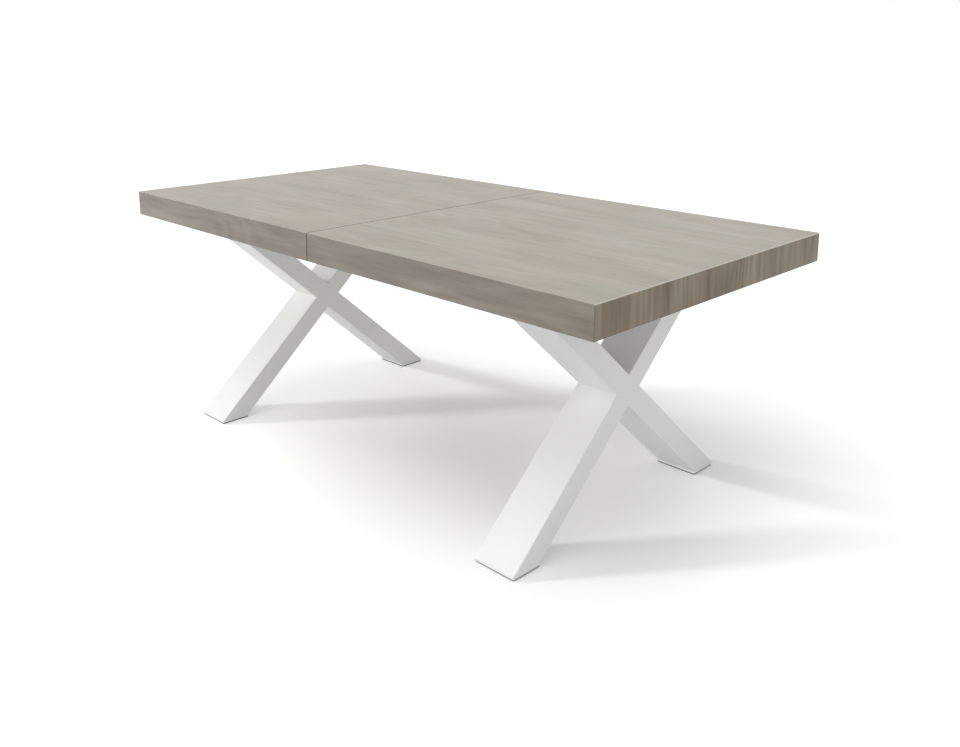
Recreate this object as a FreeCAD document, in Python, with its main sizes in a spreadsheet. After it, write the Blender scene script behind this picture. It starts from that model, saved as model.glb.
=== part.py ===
import FreeCAD, Part
import os
import Sketcher

# An extending dining table: two half tops with mitred edges, each carried by its own X frame of
# steel tube, run apart on a centre carriage that stores two loose leaves under the closed top.
# X runs along the table, Y across it and Z up; the origin is on the floor under the middle.

DIMENSIONS = {
    # Closed table
    "table_length": 2000,
    "table_width": 1000,
    "table_height": 760,
    "edge_height": 80,
    "board": 22,
    "arris": 1.5,
    "seam_gap": 2,
    "corner_block": 45,
    "corner_block_drop": 8,
    # X frames
    "leg_setback": 264,
    "leg_depth": 134,
    "bar_width": 66,
    "bar_wall": 2,
    "foot_spread": 820,
    "top_spread": 695,
    "foot_plate": 6,
    "glide": 4,
    "glide_inset": 2,
    "leg_plate": 6,
    "leg_plate_flange": 26,
    "plate_side_gap": 8,
    "plate_clearance": 3,
    "bearer_gap": 4,
    "bolt_radius": 4,
    "bolt_head_radius": 7,
    "bolt_head": 5,
    "bolt_bite": 14,
    "bolt_inset": 20,
    "bolt_spacing": 60,
    "hole_clearance": 0.1,
    # Extension leaves and the tray that they lie in
    "leaf_width": 500,
    "leaf_clearance": 1.5,
    "felt": 1,
    "felt_width": 30,
    "strap": 3,
    "strap_width": 60,
    "strap_reach": 20,
    "stop_gap": 2,
    "stop_block": 12,
    "stop_block_length": 40,
    "stop_block_height": 32,
    "stop_block_spread": 300,
    # Slides
    "well_margin": 20,
    "rail_body": 16,
    "tongue": 18,
    "channel_height": 34,
    "rail_wall": 3,
    "rail_flange": 19,
    "rail_clearance": 0.5,
    "liner": 1.5,
    "rail_seam_setback": 10,
    "rail_end_setback": 30,
    "middle_rail_setback": 55,
    "end_cap": 3,
    "pin_radius": 3,
    "pin_head_radius": 5,
    "pin_head": 3,
    "pin_reach": 5,
    "pin_setback": 40,
    "slot_depth": 7,
    "screw_radius": 2,
    "screw_head_radius": 4,
    "screw_head": 2.5,
    "screw_bite": 12,
    "screw_margin": 60,
    "strap_screw_bite": 8,
    # Seam
    "dowel_radius": 5,
    "dowel_length": 34,
    "dowel_reach": 12,
    "dowel_clearance": 0.3,
    "dowel_spread": 700,
    "magnet_length": 40,
    "magnet_depth": 12,
    "magnet_height": 14,
    "magnet_inset": 38,
    "strike": 2,
    "strike_foot": 16,
}
CUT_MARGIN = 5
RAIL_SCREWS = 4
TOUCHING = 1e-4
QUARTER = 90
LENGTHWAYS = FreeCAD.Vector(1, 0, 0)
CROSSWAYS = FreeCAD.Vector(0, 1, 0)

doc = FreeCAD.newDocument("extending_table")
sheet = doc.addObject("Spreadsheet::Sheet", "sizes")
for row, (alias, number) in enumerate(DIMENSIONS.items(), start=1):
    sheet.set(f"A{row}", alias)
    sheet.set(f"B{row}", str(number))
    sheet.setAlias(f"B{row}", alias)
doc.recompute()

# Places that several pieces share, as expressions on the sheet
ZERO = "0"
SCREW_HOLE = "(sizes.screw_radius + sizes.hole_clearance)"
BOLT_HOLE = "(sizes.bolt_radius + sizes.hole_clearance)"
END = "(sizes.table_length / 2)"
SIDE = "(sizes.table_width / 2)"
SEAM = "(sizes.seam_gap / 2)"
HALF_ARRIS = "(sizes.arris / 2)"
UNDER = "(sizes.table_height - sizes.board)"
INNER_END = f"({END} - sizes.board)"
INNER_SIDE = f"({SIDE} - sizes.board)"

RAIL_IN = "(sizes.leaf_width / 2 + sizes.well_margin)"
RAIL_MID = f"({RAIL_IN} + sizes.rail_body)"
RAIL_OUT = f"({RAIL_MID} + sizes.tongue)"
CHANNEL_IN = f"({RAIL_MID} + sizes.rail_clearance)"
CHANNEL_WEB = f"({RAIL_OUT} + sizes.rail_clearance)"
CHANNEL_OUT = f"({CHANNEL_WEB} + sizes.rail_wall)"
CHANNEL_BOTTOM = f"({UNDER} - sizes.channel_height)"
CHANNEL_FLOOR = f"({CHANNEL_BOTTOM} + sizes.rail_wall)"
CHANNEL_ROOF = f"({UNDER} - sizes.rail_wall)"
TONGUE_BOTTOM = f"({CHANNEL_FLOOR} + sizes.liner + sizes.rail_clearance)"
TONGUE_TOP = f"({CHANNEL_ROOF} - sizes.liner - sizes.rail_clearance)"
TONGUE_MIDDLE = f"(({TONGUE_BOTTOM} + {TONGUE_TOP}) / 2)"
RAIL_TOP = f"({UNDER} - sizes.rail_clearance)"
HALF_RAIL_START = f"({SEAM} + sizes.rail_seam_setback)"
HALF_RAIL_STOP = f"({INNER_END} - sizes.rail_end_setback)"
MIDDLE_RAIL_END = f"({INNER_END} - sizes.middle_rail_setback)"
PIN_X = f"({HALF_RAIL_START} + sizes.pin_setback)"
FLANGE_END = f"({CHANNEL_OUT} + sizes.rail_flange)"
RAIL_SCREW_Y = f"({CHANNEL_OUT} + sizes.rail_flange / 2)"

UPPER_LEAF = f"({UNDER} - sizes.leaf_clearance - sizes.board)"
LOWER_LEAF = f"({UPPER_LEAF} - sizes.felt - sizes.board)"
STRAP_TOP = f"({LOWER_LEAF} - sizes.felt)"
STRAP_END = f"({SIDE} + sizes.strap_reach)"
STRAP_X = f"({STRAP_END} - sizes.strap_width / 2)"
STRAP_SCREW_Y = f"(({RAIL_IN} + {RAIL_MID}) / 2)"
DOWEL_ROW = ("-sizes.dowel_spread / 2", ZERO, "sizes.dowel_spread / 2")

FRAME_X = f"({END} - sizes.leg_setback - sizes.leg_depth / 2)"
PLATE_TOP = f"({STRAP_TOP} - sizes.strap - sizes.screw_head - sizes.plate_clearance)"
BAR_TOP = f"({PLATE_TOP} - sizes.leg_plate)"
BAR_BOTTOM = "(sizes.glide + sizes.foot_plate)"
LEAN = f"atan(2 * {BAR_TOP} / (sizes.foot_spread + sizes.top_spread))"
CROSS = f"(sizes.foot_spread / 2 * tan({LEAN}))"
HALF_CUT = f"(sizes.bar_width / 2 / sin({LEAN}))"
WALL_CUT = f"(sizes.bar_wall / sin({LEAN}))"
PLATE_HALF = "(sizes.leg_depth / 2 + sizes.leg_plate_flange)"
PLATE_END = f"({INNER_SIDE} - sizes.plate_side_gap)"
BEARER_IN = f"({FLANGE_END} + sizes.bearer_gap)"

nodes = []


def value(expression):
    """The number that an expression on the sheet gives now."""
    return float(sheet.evalExpression(expression))


def place(piece, x="", y="", z=""):
    """Binds the piece's place to the sheet."""
    for axis, expression in (("x", x), ("y", y), ("z", z)):
        if expression:
            piece.setExpression(f"Placement.Base.{axis}", expression)


def node(piece, label):
    """Names a finished piece and lists it for export."""
    piece.Label = label
    nodes.append(piece)
    return piece


def new_body(name, x="", y="", z=""):
    body = doc.addObject("PartDesign::Body", name)
    place(body, x, y, z)
    return body


def new_sketch(body, plane, lift=""):
    """An empty sketch on one of the body's own planes, moved along its normal if asked."""
    sketch = body.newObject("Sketcher::SketchObject", f"{body.Name}_sketch")
    support = next(item for item in body.Origin.OriginFeatures if item.Role == plane)
    sketch.AttachmentSupport = (support, [""])
    sketch.MapMode = "FlatFace"
    if lift:
        sketch.setExpression("AttachmentOffset.Base.z", lift)
    return sketch


def hold(sketch, kind, geometry, point, expression):
    """Ties one coordinate of a sketch point to the sheet."""
    constraint = Sketcher.Constraint(kind, -1, 1, geometry, point, value(expression))
    number = sketch.addConstraint(constraint)
    sketch.setExpression(f"Constraints[{number}]", expression)


def outline(body, plane, *loops, lift=""):
    """A sketch of closed straight-sided loops, whose corners are pairs of expressions."""
    sketch = new_sketch(body, plane, lift)
    for corners in loops:
        first = sketch.GeometryCount
        count = len(corners)
        points = [FreeCAD.Vector(value(across), value(up), 0) for across, up in corners]
        for index in range(count):
            following = points[(index + 1) % count]
            sketch.addGeometry(Part.LineSegment(points[index], following), False)
        for index in range(count):
            after = first + (index + 1) % count
            sketch.addConstraint(Sketcher.Constraint("Coincident", first + index, 2, after, 1))
        for index, (across, up) in enumerate(corners):
            hold(sketch, "DistanceX", first + index, 1, across)
            hold(sketch, "DistanceY", first + index, 1, up)
    return sketch


def circles(body, plane, centres, radius, lift=""):
    """A sketch of equal circles, whose centres are pairs of expressions."""
    sketch = new_sketch(body, plane, lift)
    normal = FreeCAD.Vector(0, 0, 1)
    for index, (across, up) in enumerate(centres):
        centre = FreeCAD.Vector(value(across), value(up), 0)
        sketch.addGeometry(Part.Circle(centre, normal, value(radius)), False)
        hold(sketch, "DistanceX", index, 3, across)
        hold(sketch, "DistanceY", index, 3, up)
        number = sketch.addConstraint(Sketcher.Constraint("Radius", index, value(radius)))
        sketch.setExpression(f"Constraints[{number}]", radius)
    return sketch


def pad(body, sketch, length, both_ways=False):
    feature = body.newObject("PartDesign::Pad", f"{body.Name}_pad")
    feature.Profile = sketch
    feature.Midplane = both_ways
    feature.setExpression("Length", length)
    doc.recompute()
    return feature


def cut(body, sketch, length, both_ways=False, forwards=False):
    """A pocket that goes against the sketch's normal, or along it when forwards, and must cut."""
    before = body.Shape.Volume
    feature = body.newObject("PartDesign::Pocket", f"{body.Name}_cut")
    feature.Profile = sketch
    feature.Midplane = both_ways
    feature.Reversed = forwards
    feature.setExpression("Length", length)
    doc.recompute()
    if not body.Shape.Volume < before:
        raise RuntimeError(f"{feature.Name} cuts nothing")
    return feature


def box(name, low, size):
    """A block from its low corner and its three sizes, all expressions."""
    block = doc.addObject("Part::Box", name)
    for side, expression in zip(("Length", "Width", "Height"), size):
        block.setExpression(side, expression)
    place(block, *low)
    return block


def cylinder(name, radius, height, x, y, z):
    """An upright cylinder on the point given."""
    rod = doc.addObject("Part::Cylinder", name)
    rod.setExpression("Radius", radius)
    rod.setExpression("Height", height)
    place(rod, x, y, z)
    return rod


def lying(rod, axis, degrees):
    """Turns an upright cylinder about its foot."""
    rod.Placement.Rotation = FreeCAD.Rotation(axis, degrees)
    return rod


def fuse(name, pieces):
    joined = doc.addObject("Part::MultiFuse", name)
    joined.Shapes = pieces
    return joined


def group(label, members):
    """One node of several like solids."""
    compound = doc.addObject("Part::Compound", label)
    compound.Links = members
    return node(compound, label)


def screw(name, x, y, z, thread, length, head_radius, head):
    """A screw that goes up into what lies above, with the underside of its head at z."""
    shank = cylinder(f"{name}_shank", thread, length, x, y, z)
    cap = cylinder(f"{name}_head", head_radius, head, x, y, f"{z} - {head}")
    return fuse(name, [shank, cap])


def along(sign, expression):
    """The expression on the side of the middle that sign gives."""
    return expression if sign > 0 else f"-({expression})"


def rail_screw_rows(sign):
    """Places of the screws that hold a half's two rails to its panel."""
    first = f"({HALF_RAIL_START} + sizes.screw_margin)"
    pitch = f"(({HALF_RAIL_STOP} - {HALF_RAIL_START} - 2 * sizes.screw_margin) / {RAIL_SCREWS - 1})"
    steps = [along(sign, f"{first} + {index} * {pitch}") for index in range(RAIL_SCREWS)]
    return [(step, along(face, RAIL_SCREW_Y)) for face in (-1, 1) for step in steps]


def bar_middle(height):
    """How far the leaning bars are from the frame's middle at a height."""
    return f"(({height} - {CROSS}) / tan({LEAN}))"


def leg_bolt_rows(sign, face):
    """Places of the bolts at one end of a leg plate."""
    half_x = "(sizes.leg_depth + sizes.leg_plate_flange) / 2"
    outer = f"{PLATE_END} - sizes.bolt_inset"
    inner = f"{outer} - sizes.bolt_spacing"
    columns = [along(sign, f"{FRAME_X} + {step} * {half_x}") for step in (-1, 1)]
    return [(column, along(face, row)) for column in columns for row in (outer, inner)]


def make_panel(half, sign):
    """The flat board of a half top, mitred on its three outer edges and square at the seam."""
    body = new_body(f"{half}_top_panel", z=UNDER)

    def section(inset, seam_inset, lift):
        far = along(sign, f"{END} - {inset}")
        near = along(sign, f"{SEAM} + {seam_inset}")
        front = f"-({SIDE} - {inset})"
        back = f"{SIDE} - {inset}"
        corners = [(near, front), (far, front), (far, back), (near, back)]
        return outline(body, "XY_Plane", corners, lift=lift)

    lowest = section("sizes.board", ZERO, ZERO)
    mitre_top = section(HALF_ARRIS, ZERO, f"sizes.board - {HALF_ARRIS}")
    face = section("sizes.arris", HALF_ARRIS, "sizes.board")
    loft = body.newObject("PartDesign::AdditiveLoft", f"{body.Name}_loft")
    loft.Profile = lowest
    loft.Sections = [mitre_top, face]
    loft.Ruled = True
    doc.recompute()

    screw_holes = circles(body, "XY_Plane", rail_screw_rows(sign), SCREW_HOLE)
    cut(body, screw_holes, "sizes.screw_bite + sizes.hole_clearance", forwards=True)

    row = [(step, "sizes.board / 2") for step in DOWEL_ROW]
    glued = sign < 0
    slack = "sizes.hole_clearance" if glued else "sizes.dowel_clearance"
    reach = "(sizes.dowel_length - sizes.dowel_reach)" if glued else "sizes.dowel_reach"
    sockets = circles(body, "YZ_Plane", row, f"sizes.dowel_radius + {slack}")
    cut(body, sockets, f"{SEAM} + {reach} + {slack}", forwards=sign > 0)
    node(body, f"{half}_top_panel")


def mitre_corners(sign, outer):
    """What a mitre takes off the top of an apron, in its upright section."""
    inner = f"({outer} - sizes.board)"
    low = "sizes.edge_height - sizes.board"
    high = f"sizes.edge_height + {CUT_MARGIN}"
    return [
        (along(sign, f"{outer} + {CUT_MARGIN}"), "sizes.edge_height - sizes.arris"),
        (along(sign, outer), "sizes.edge_height - sizes.arris"),
        (along(sign, f"{outer} - {HALF_ARRIS}"), f"sizes.edge_height - {HALF_ARRIS}"),
        (along(sign, inner), low),
        (along(sign, f"{inner} - {CUT_MARGIN}"), low),
        (along(sign, f"{inner} - {CUT_MARGIN}"), high),
        (along(sign, f"{outer} + {CUT_MARGIN}"), high),
    ]


def make_side_apron(half, sign, face, side):
    """The long edge of a half top, mitred to the panel above it and to the end apron."""
    body = new_body(f"{half}_{side}_apron", z="sizes.table_height - sizes.edge_height")
    plan = [
        (f"{SEAM} + {HALF_ARRIS}", SIDE),
        (f"{END} - sizes.arris", SIDE),
        (f"{END} - {HALF_ARRIS}", f"{SIDE} - {HALF_ARRIS}"),
        (INNER_END, INNER_SIDE),
        (SEAM, INNER_SIDE),
        (SEAM, f"{SIDE} - {HALF_ARRIS}"),
    ]
    corners = [(along(sign, across), along(face, back)) for across, back in plan]
    pad(body, outline(body, "XY_Plane", corners), "sizes.edge_height")
    mitre = outline(body, "YZ_Plane", mitre_corners(face, SIDE))
    cut(body, mitre, "2 * sizes.table_length", both_ways=True)
    node(body, f"{half}_{side}_apron")


def make_end_apron(half, sign):
    """The short edge of a half top, mitred to the panel and to both side aprons."""
    body = new_body(f"{half}_end_apron", z="sizes.table_height - sizes.edge_height")
    plan = [
        (END, f"-({SIDE} - sizes.arris)"),
        (END, f"{SIDE} - sizes.arris"),
        (f"{END} - {HALF_ARRIS}", f"{SIDE} - {HALF_ARRIS}"),
        (INNER_END, INNER_SIDE),
        (INNER_END, f"-{INNER_SIDE}"),
        (f"{END} - {HALF_ARRIS}", f"-({SIDE} - {HALF_ARRIS})"),
    ]
    corners = [(along(sign, across), back) for across, back in plan]
    pad(body, outline(body, "XY_Plane", corners), "sizes.edge_height")
    mitre = outline(body, "XZ_Plane", mitre_corners(sign, END))
    cut(body, mitre, "2 * sizes.table_width", both_ways=True)
    node(body, f"{half}_end_apron")


def make_corner_blocks(half, sign):
    """Three-cornered blocks glued into the two outer corners under the panel."""
    blocks = []
    for face in (-1, 1):
        low = "sizes.table_height - sizes.edge_height + sizes.corner_block_drop"
        body = new_body(f"{half}_corner_block", z=low)
        plan = [
            (INNER_END, INNER_SIDE),
            (f"{INNER_END} - sizes.corner_block", INNER_SIDE),
            (INNER_END, f"{INNER_SIDE} - sizes.corner_block"),
        ]
        corners = [(along(sign, across), along(face, back)) for across, back in plan]
        height = "sizes.edge_height - sizes.board - sizes.corner_block_drop"
        pad(body, outline(body, "XY_Plane", corners), height)
        blocks.append(body)
    group(f"{half}_corner_blocks", blocks)


def make_half_rail(half, sign, face, side):
    """An aluminium channel that opens to the middle, with a flange screwed under the panel."""
    middle = f"(({HALF_RAIL_START} + {HALF_RAIL_STOP}) / 2)"
    length = f"{HALF_RAIL_STOP} - {HALF_RAIL_START}"
    body = new_body(f"{half}_{side}_half_rail", x=along(sign, middle))
    section = [
        (CHANNEL_IN, UNDER),
        (FLANGE_END, UNDER),
        (FLANGE_END, CHANNEL_ROOF),
        (CHANNEL_OUT, CHANNEL_ROOF),
        (CHANNEL_OUT, CHANNEL_BOTTOM),
        (CHANNEL_IN, CHANNEL_BOTTOM),
        (CHANNEL_IN, CHANNEL_FLOOR),
        (CHANNEL_WEB, CHANNEL_FLOOR),
        (CHANNEL_WEB, CHANNEL_ROOF),
        (CHANNEL_IN, CHANNEL_ROOF),
    ]
    corners = [(along(face, back), up) for back, up in section]
    pad(body, outline(body, "YZ_Plane", corners), length, both_ways=True)
    own_screws = [point for point in rail_screw_rows(sign) if point[1] == along(face, RAIL_SCREW_Y)]
    holes = [(f"{across} - ({along(sign, middle)})", back) for across, back in own_screws]
    screw_holes = circles(body, "XY_Plane", holes, SCREW_HOLE, lift=UNDER)
    cut(body, screw_holes, f"sizes.rail_wall + {CUT_MARGIN}")
    pin_hole = circles(
        body,
        "XZ_Plane",
        [(f"{along(sign, PIN_X)} - ({along(sign, middle)})", TONGUE_MIDDLE)],
        "sizes.pin_radius + sizes.hole_clearance",
        lift=along(-face, CHANNEL_OUT),
    )
    cut(body, pin_hole, "2 * (sizes.rail_wall + sizes.hole_clearance)", both_ways=True)
    node(body, f"{half}_{side}_half_rail")


def make_rail_trim(half, sign):
    """Plastic liners in the channels, the screws above them and the pins that end the travel."""
    length = f"{HALF_RAIL_STOP} - {HALF_RAIL_START}"
    start = HALF_RAIL_START if sign > 0 else f"-{HALF_RAIL_STOP}"
    liners = []
    for face in (-1, 1):
        near = CHANNEL_IN if face > 0 else f"-{CHANNEL_WEB}"
        for low in (CHANNEL_FLOOR, f"{CHANNEL_ROOF} - sizes.liner"):
            size = (length, f"{CHANNEL_WEB} - {CHANNEL_IN}", "sizes.liner")
            liners.append(box(f"{half}_liner", (start, near, low), size))
    group(f"{half}_rail_liners", liners)

    reach = "sizes.rail_wall + sizes.screw_bite"
    screws = [
        screw(f"{half}_rail_screw", across, back, CHANNEL_ROOF, "sizes.screw_radius", reach,
              "sizes.screw_head_radius", "sizes.screw_head")
        for across, back in rail_screw_rows(sign)
    ]
    group(f"{half}_rail_screws", screws)

    pins = []
    for face in (-1, 1):
        seat = (along(sign, PIN_X), along(face, CHANNEL_OUT), TONGUE_MIDDLE)
        reach = "sizes.rail_wall + sizes.pin_reach"
        shank = cylinder(f"{half}_pin", "sizes.pin_radius", reach, *seat)
        cap = cylinder(f"{half}_pin_head", "sizes.pin_head_radius", "sizes.pin_head", *seat)
        turned = [lying(shank, LENGTHWAYS, face * QUARTER), lying(cap, LENGTHWAYS, -face * QUARTER)]
        pins.append(fuse(f"{half}_stop_pin", turned))
    group(f"{half}_stop_pins", pins)


def make_bar(half, sign, name, corners, hollow):
    """A length of rectangular steel tube in the plane of the X, open at its ends."""
    body = new_body(f"{half}_{name}", x=along(sign, FRAME_X))
    pad(body, outline(body, "YZ_Plane", corners), "sizes.leg_depth", both_ways=True)
    inside = outline(body, "YZ_Plane", hollow)
    cut(body, inside, "sizes.leg_depth - 2 * sizes.bar_wall", both_ways=True)
    node(body, f"{half}_{name}")


def make_x_frame(half, sign):
    """A through bar from the front foot up to the back, and two arms welded to its sides."""
    bottom = bar_middle(BAR_BOTTOM)
    top = bar_middle(BAR_TOP)
    rise = f"tan({LEAN})"
    inner = f"({HALF_CUT} - {WALL_CUT})"

    def through(half_width):
        return [
            (f"{bottom} - {half_width}", BAR_BOTTOM),
            (f"{bottom} + {half_width}", BAR_BOTTOM),
            (f"{top} + {half_width}", BAR_TOP),
            (f"{top} - {half_width}", BAR_TOP),
        ]

    def upper(half_width):
        lower_side = f"({HALF_CUT} - {half_width}) / 2"
        upper_side = f"({HALF_CUT} + {half_width}) / 2"
        return [
            (f"{lower_side} - {HALF_CUT}", f"{CROSS} + {lower_side} * {rise}"),
            (f"{upper_side} - {HALF_CUT}", f"{CROSS} + {upper_side} * {rise}"),
            (f"-{top} + {half_width}", BAR_TOP),
            (f"-{top} - {half_width}", BAR_TOP),
        ]

    def lower(half_width):
        upper_side = f"({HALF_CUT} - {half_width}) / 2"
        lower_side = f"({HALF_CUT} + {half_width}) / 2"
        return [
            (f"{HALF_CUT} - {upper_side}", f"{CROSS} - {upper_side} * {rise}"),
            (f"{HALF_CUT} - {lower_side}", f"{CROSS} - {lower_side} * {rise}"),
            (f"-{bottom} - {half_width}", BAR_BOTTOM),
            (f"-{bottom} + {half_width}", BAR_BOTTOM),
        ]

    make_bar(half, sign, "leg_through_bar", through(HALF_CUT), through(inner))
    make_bar(half, sign, "leg_upper_arm", upper(HALF_CUT), upper(inner))
    make_bar(half, sign, "leg_lower_arm", lower(HALF_CUT), lower(inner))


def rectangle(sign, near, far, low, high):
    """The corners of an upright rectangle in plan, on the side that sign gives."""
    corners = [(near, low), (far, low), (far, high), (near, high)]
    return [(along(sign, across), back) for across, back in corners]


def make_leg_mount(half, sign):
    """A plate across the tops of the bars, bolted up into two bearers glued under the panel."""
    near = f"{FRAME_X} - {PLATE_HALF}"
    far = f"{FRAME_X} + {PLATE_HALF}"
    plate = new_body(f"{half}_leg_plate", z=BAR_TOP)
    corners = rectangle(sign, near, far, f"-{PLATE_END}", PLATE_END)
    pad(plate, outline(plate, "XY_Plane", corners), "sizes.leg_plate")
    rows = leg_bolt_rows(sign, -1) + leg_bolt_rows(sign, 1)
    holes = circles(plate, "XY_Plane", rows, BOLT_HOLE)
    cut(plate, holes, f"sizes.leg_plate + {CUT_MARGIN}", forwards=True)
    node(plate, f"{half}_leg_plate")

    for face, side in ((-1, "front"), (1, "back")):
        bearer = new_body(f"{half}_{side}_bearer", z=PLATE_TOP)
        corners = rectangle(sign, near, far, along(face, BEARER_IN), along(face, INNER_SIDE))
        pad(bearer, outline(bearer, "XY_Plane", corners), f"{UNDER} - {PLATE_TOP}")
        holes = circles(bearer, "XY_Plane", leg_bolt_rows(sign, face), BOLT_HOLE)
        cut(bearer, holes, "sizes.bolt_bite + sizes.hole_clearance", forwards=True)
        node(bearer, f"{half}_{side}_bearer")

    bolts = [
        screw(f"{half}_leg_bolt", across, back, BAR_TOP, "sizes.bolt_radius",
              "sizes.leg_plate + sizes.bolt_bite", "sizes.bolt_head_radius", "sizes.bolt_head")
        for across, back in rows
    ]
    group(f"{half}_leg_bolts", bolts)


def make_feet(half, sign):
    """A thin plate that closes the bottom of each bar, and the glide that it stands on."""
    near_x = f"{along(sign, FRAME_X)} - sizes.leg_depth / 2"
    inset = "sizes.glide_inset"
    for face, side in ((-1, "front"), (1, "back")):
        foot_middle = f"(-{bar_middle(BAR_BOTTOM)})"
        near_y = f"{along(face, foot_middle)} - {HALF_CUT}"
        size = ("sizes.leg_depth", f"2 * {HALF_CUT}", "sizes.foot_plate")
        foot = box(f"{half}_{side}_foot_plate", (near_x, near_y, "sizes.glide"), size)
        node(foot, f"{half}_{side}_foot_plate")
        size = (f"sizes.leg_depth - 2 * {inset}", f"2 * {HALF_CUT} - 2 * {inset}", "sizes.glide")
        glide = box(f"{half}_{side}_glide", (f"{near_x} + {inset}", f"{near_y} + {inset}", ZERO), size)
        node(glide, f"{half}_{side}_glide")


def make_dowels(label, lie, places):
    """A row of locating dowels, each turned from upright by the rotation given."""
    axis, degrees = lie
    rods = [
        lying(cylinder(f"{label}_dowel", "sizes.dowel_radius", "sizes.dowel_length", *point), axis, degrees)
        for point in places
    ]
    group(label, rods)


def make_seam_fittings():
    """Dowels and magnets in the left half, and the strikes that the magnets hold in the right."""
    root = f"-({SEAM} + sizes.dowel_length - sizes.dowel_reach)"
    height = f"{UNDER} + sizes.board / 2"
    pointing_right = (CROSSWAYS, QUARTER)
    make_dowels("seam_dowels", pointing_right, [(root, step, height) for step in DOWEL_ROW])

    magnets = []
    strikes = []
    for face in (-1, 1):
        middle = f"({INNER_SIDE} - sizes.magnet_inset - sizes.magnet_length / 2)"
        near = f"{along(face, middle)} - sizes.magnet_length / 2"
        low = (f"-({SEAM} + sizes.magnet_depth)", near, f"{UNDER} - sizes.magnet_height")
        size = ("sizes.magnet_depth", "sizes.magnet_length", "sizes.magnet_height")
        magnets.append(box("magnet", low, size))
        body = new_body("strike_angle", y=along(face, middle))
        section = [
            (SEAM, UNDER),
            (SEAM, f"{UNDER} - sizes.magnet_height"),
            (f"{SEAM} + sizes.strike", f"{UNDER} - sizes.magnet_height"),
            (f"{SEAM} + sizes.strike", f"{UNDER} - sizes.strike"),
            (f"{SEAM} + sizes.strike_foot", f"{UNDER} - sizes.strike"),
            (f"{SEAM} + sizes.strike_foot", UNDER),
        ]
        pad(body, outline(body, "XZ_Plane", section), "sizes.magnet_length", both_ways=True)
        strikes.append(body)
    group("seam_magnets", magnets)
    group("seam_strikes", strikes)


def rail_section(face, inset):
    """The outline of a middle rail: an upright body with a tongue on its outer side."""
    inner = f"({RAIL_IN} + {inset})"
    shoulder = f"({RAIL_MID} - {inset})"
    outer = f"({RAIL_OUT} - {inset})"
    section = [
        (inner, f"{STRAP_TOP} + {inset}"),
        (shoulder, f"{STRAP_TOP} + {inset}"),
        (shoulder, f"{TONGUE_BOTTOM} + {inset}"),
        (outer, f"{TONGUE_BOTTOM} + {inset}"),
        (outer, f"{TONGUE_TOP} - {inset}"),
        (shoulder, f"{TONGUE_TOP} - {inset}"),
        (shoulder, f"{RAIL_TOP} - {inset}"),
        (inner, f"{RAIL_TOP} - {inset}"),
    ]
    return [(along(face, back), up) for back, up in section]


def make_middle_rail(face, side):
    """A hollow aluminium rail whose tongue runs in the half rails of both halves."""
    body = new_body(f"{side}_middle_rail")
    solid = rail_section(face, ZERO)
    hollow = rail_section(face, "sizes.rail_wall")
    pad(body, outline(body, "YZ_Plane", solid, hollow), f"2 * {MIDDLE_RAIL_END}", both_ways=True)
    slack = "(sizes.pin_radius + sizes.rail_clearance)"
    for sign in (-1, 1):
        start = f"{PIN_X} - {slack}"
        stop = f"{PIN_X} + sizes.leaf_width + {slack}"
        low = f"{TONGUE_MIDDLE} - {slack}"
        high = f"{TONGUE_MIDDLE} + {slack}"
        corners = [(start, low), (stop, low), (stop, high), (start, high)]
        mirrored = [(along(sign, across), up) for across, up in corners]
        slot = outline(body, "XZ_Plane", mirrored, lift=along(-face, RAIL_OUT))
        cut(body, slot, "2 * sizes.slot_depth", both_ways=True)
    rows = [point for point in strap_screw_rows() if point[1] == along(face, STRAP_SCREW_Y)]
    holes = circles(body, "XY_Plane", rows, SCREW_HOLE, lift=STRAP_TOP)
    cut(body, holes, "2 * sizes.rail_wall", both_ways=True)
    node(body, f"{side}_middle_rail")


def strap_screw_rows():
    """Places of the screws that hold the straps to the middle rails."""
    return [(along(sign, STRAP_X), along(face, STRAP_SCREW_Y)) for sign in (-1, 1) for face in (-1, 1)]


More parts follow.
